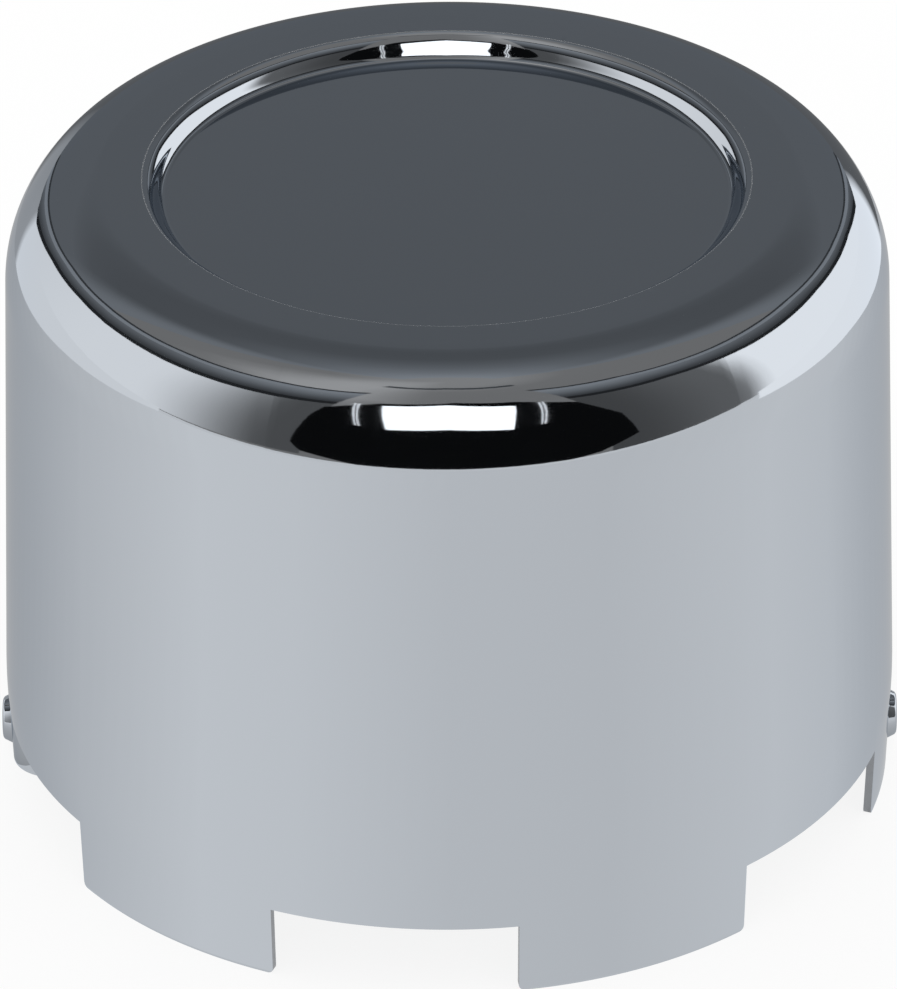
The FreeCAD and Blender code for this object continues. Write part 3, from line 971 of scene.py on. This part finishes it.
buttons = lathe("buttons", turned_outline(MID_SHEET, BUTTON_FACE, BUTTON_RADIUS, BUTTON_RIM))
dimples = lathe("dimples", turned_outline(MID_SHEET - DIMPLE_REACH, BUTTON_FACE - SHEET,
                                          BUTTON_RADIUS - SHEET, DIMPLE_RIM))
for cutter, operation in ((buttons, "UNION"), (dimples, "DIFFERENCE")):
    press = pressed_cap.modifiers.new(cutter.name, "BOOLEAN")
    press.object = cutter
    press.operation = operation
    press.solver = "EXACT"
apply_modifiers(pressed_cap)
for cutter in (buttons, dimples):
    bpy.data.objects.remove(cutter)
print("with buttons:", len(pressed_cap.data.polygons), "faces")

# %% [markdown]
# ## Smooth mirrors
# Chrome shows every error of the shading normals. All faces are smooth apart from real
# corners, and the weighted normals let the wide faces of the wall and the flat ring rule
# the narrow ones next to them. The finished cap then takes the place of the CAD solid,
# which stays for collision.

# %% Smooth the skins
SHARP = math.radians(35.0)

for face in pressed_cap.data.polygons:
    face.use_smooth = True
pressed_cap.data.set_sharp_from_angle(angle=SHARP)
weighting = pressed_cap.modifiers.new("weighted normals", "WEIGHTED_NORMAL")
weighting.keep_sharp = True
apply_modifiers(pressed_cap)
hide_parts("center_cap")
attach(pressed_cap, "root")
print("smoothed:", pressed_cap.name, "with", len(pressed_cap.data.vertices), "points")

# %% [markdown]
# ## Plating is never quite even
# All of the cap is plated, and plating is uneven in three ways. Its haze changes from place
# to place, the drawn sheet under it sways a little, and its surface has a fine grain. All
# finishes of the cap have this in common and differ only in how much of it they show. So
# it is one node group: its inputs set the scales and the range of the haze, and it gives
# out the roughness, and the heights of the sway and of the grain. Each material gets the
# group with values of its own. The cap is new, so there is no other wear.

# %% Build the uneven plating
GROUP_INPUTS = (("Place", "NodeSocketVector"), ("Haze Scale", "NodeSocketFloat"),
                ("Haze Detail", "NodeSocketFloat"), ("Smoothest", "NodeSocketFloat"),
                ("Roughest", "NodeSocketFloat"), ("Sway Scale", "NodeSocketFloat"),
                ("Grain Scale", "NodeSocketFloat"))
GROUP_OUTPUTS = ("Roughness", "Sway", "Grain")
WAVE_DETAIL = 2.0

uneven_plating = bpy.data.node_groups.new("uneven_plating", "ShaderNodeTree")
for label, kind in GROUP_INPUTS:
    uneven_plating.interface.new_socket(name=label, in_out="INPUT", socket_type=kind)
for label in GROUP_OUTPUTS:
    uneven_plating.interface.new_socket(name=label, in_out="OUTPUT",
                                        socket_type="NodeSocketFloat")
nodes, links = uneven_plating.nodes, uneven_plating.links
given = nodes.new("NodeGroupInput")
made = nodes.new("NodeGroupOutput")

haze = nodes.new("ShaderNodeTexNoise")
links.new(given.outputs["Place"], haze.inputs["Vector"])
links.new(given.outputs["Haze Scale"], haze.inputs["Scale"])
links.new(given.outputs["Haze Detail"], haze.inputs["Detail"])
rough = nodes.new("ShaderNodeMapRange")
links.new(haze.outputs["Fac"], rough.inputs["Value"])
links.new(given.outputs["Smoothest"], rough.inputs["To Min"])
links.new(given.outputs["Roughest"], rough.inputs["To Max"])
links.new(rough.outputs["Result"], made.inputs["Roughness"])
for label in ("Sway", "Grain"):
    waves = nodes.new("ShaderNodeTexNoise")
    waves.inputs["Detail"].default_value = WAVE_DETAIL
    links.new(given.outputs["Place"], waves.inputs["Vector"])
    links.new(given.outputs[label + " Scale"], waves.inputs["Scale"])
    links.new(waves.outputs["Fac"], made.inputs[label])
print("uneven plating:", len(GROUP_INPUTS), "inputs,", len(GROUP_OUTPUTS), "outputs")

# %% [markdown]
# ## The mirror chrome
# Polished chrome is a mirror that keeps about half of the light, slightly blue. Its haze is
# faint, the sway of the sheet only moves long reflections a little, and the grain is that
# of the last polish. All three are kept weak. The scales are in waves to the metre, and
# the depths of the two bumps in metres.

# %% Make the mirror chrome
CHROME = (0.46, 0.49, 0.528, 1.0)
EDGE_TINT = (0.8, 0.83, 0.87, 1.0)
CHROME_VALUES = {"Haze Scale": 60.0, "Haze Detail": 4.0, "Smoothest": 0.02, "Roughest": 0.06,
                 "Sway Scale": 35.0, "Grain Scale": 900.0}
BUMP_STRENGTH = 0.06
SWAY_DEPTH = 0.0006
POLISH_DEPTH = 0.00002


def plated(name, color, values):
    """Metal with the uneven plating, at the group's values given by name."""
    material, nodes, links, output = new_material(name)
    plate = nodes.new("ShaderNodeBsdfPrincipled")
    plate.inputs["Base Color"].default_value = color
    plate.inputs["Metallic"].default_value = 1.0
    spot = nodes.new("ShaderNodeTexCoord")
    uneven = nodes.new("ShaderNodeGroup")
    uneven.node_tree = uneven_plating
    for label, value in values.items():
        uneven.inputs[label].default_value = value
    links.new(spot.outputs["Object"], uneven.inputs["Place"])
    links.new(uneven.outputs["Roughness"], plate.inputs["Roughness"])
    links.new(plate.outputs[0], output.inputs["Surface"])
    return material, plate, uneven


def raised(material, height, depth, strength, before=None):
    """Normal of a bump: height is an output, depth in metres."""
    nodes, links = material.node_tree.nodes, material.node_tree.links
    bump = nodes.new("ShaderNodeBump")
    bump.inputs["Distance"].default_value = depth
    bump.inputs["Strength"].default_value = strength
    links.new(height, bump.inputs["Height"])
    if before:
        links.new(before, bump.inputs["Normal"])
    return bump.outputs["Normal"]


chrome, plate, uneven = plated("polished_chrome", CHROME, CHROME_VALUES)
plate.inputs["Specular Tint"].default_value = EDGE_TINT
drawn = raised(chrome, uneven.outputs["Sway"], SWAY_DEPTH, BUMP_STRENGTH)
polished = raised(chrome, uneven.outputs["Grain"], POLISH_DEPTH, BUMP_STRENGTH, drawn)
chrome.node_tree.links.new(polished, plate.inputs["Normal"])
print("mirror chrome:", len(chrome.node_tree.nodes), "nodes")

# %% [markdown]
# ## Plating without a mirror polish, with painted shade and a painted highlight
# The cut edges were sheared and not polished, so their plating is dull, and their dark
# colour is painted shade: it stands for the dark insides of the cap that these faces
# mirror. The fine crease at the recess lip is matt, so it catches light from all sides,
# and its pale colour is a painted highlight that draws a thin pale line round the recess.
# Both use the same uneven plating, rougher and with a finer and deeper grain. The three
# finishes then go onto the faces by their numbers.

# %% Plate the cut edges and the lip crease
# Painted shade: the dark colour of the cut edges stands for the dark insides of the cap that
# they mirror; the roughness of their unpolished plating is real.
DULL_CUT_EDGE_AND_SHADE = (0.26, 0.27, 0.285, 1.0)
CUT_HAZE = (0.25, 0.45)
# Painted highlight: the pale colour of the lip crease draws the thin bright line round the
# recess.
LIP_PAINTED_HIGHLIGHT = (0.78, 0.8, 0.82, 1.0)
LIP_HAZE = (0.45, 0.6)
WORN_SCALE = 1500.0
WORN_DEPTH = 0.00004
WORN_STRENGTH = 0.4


def matt_plating_painted_light(name, color, haze):
    """Plating without a mirror polish, between two roughnesses. Its colour is painted
    shade on the cut edges and a painted highlight on the lip crease.
    """
    material, plate, uneven = plated(name, color, {
        "Haze Scale": WORN_SCALE, "Haze Detail": WAVE_DETAIL, "Smoothest": haze[0],
        "Roughest": haze[1], "Grain Scale": WORN_SCALE})
    grain = raised(material, uneven.outputs["Grain"], WORN_DEPTH, WORN_STRENGTH)
    material.node_tree.links.new(grain, plate.inputs["Normal"])
    return material


pressed_cap.data.materials[0] = chrome
pressed_cap.data.materials[CUT_DULL_AND_SHADE_INDEX] = matt_plating_painted_light("dull_cut_edge_painted_shade", DULL_CUT_EDGE_AND_SHADE, CUT_HAZE)
pressed_cap.data.materials[CREASE_HIGHLIGHT_INDEX] = matt_plating_painted_light("lip_edge_painted_highlight", LIP_PAINTED_HIGHLIGHT, LIP_HAZE)
for holder in cap.material_slots:
    holder.material = chrome
print("plated:", pressed_cap.name, "with", len(pressed_cap.data.materials), "finishes")
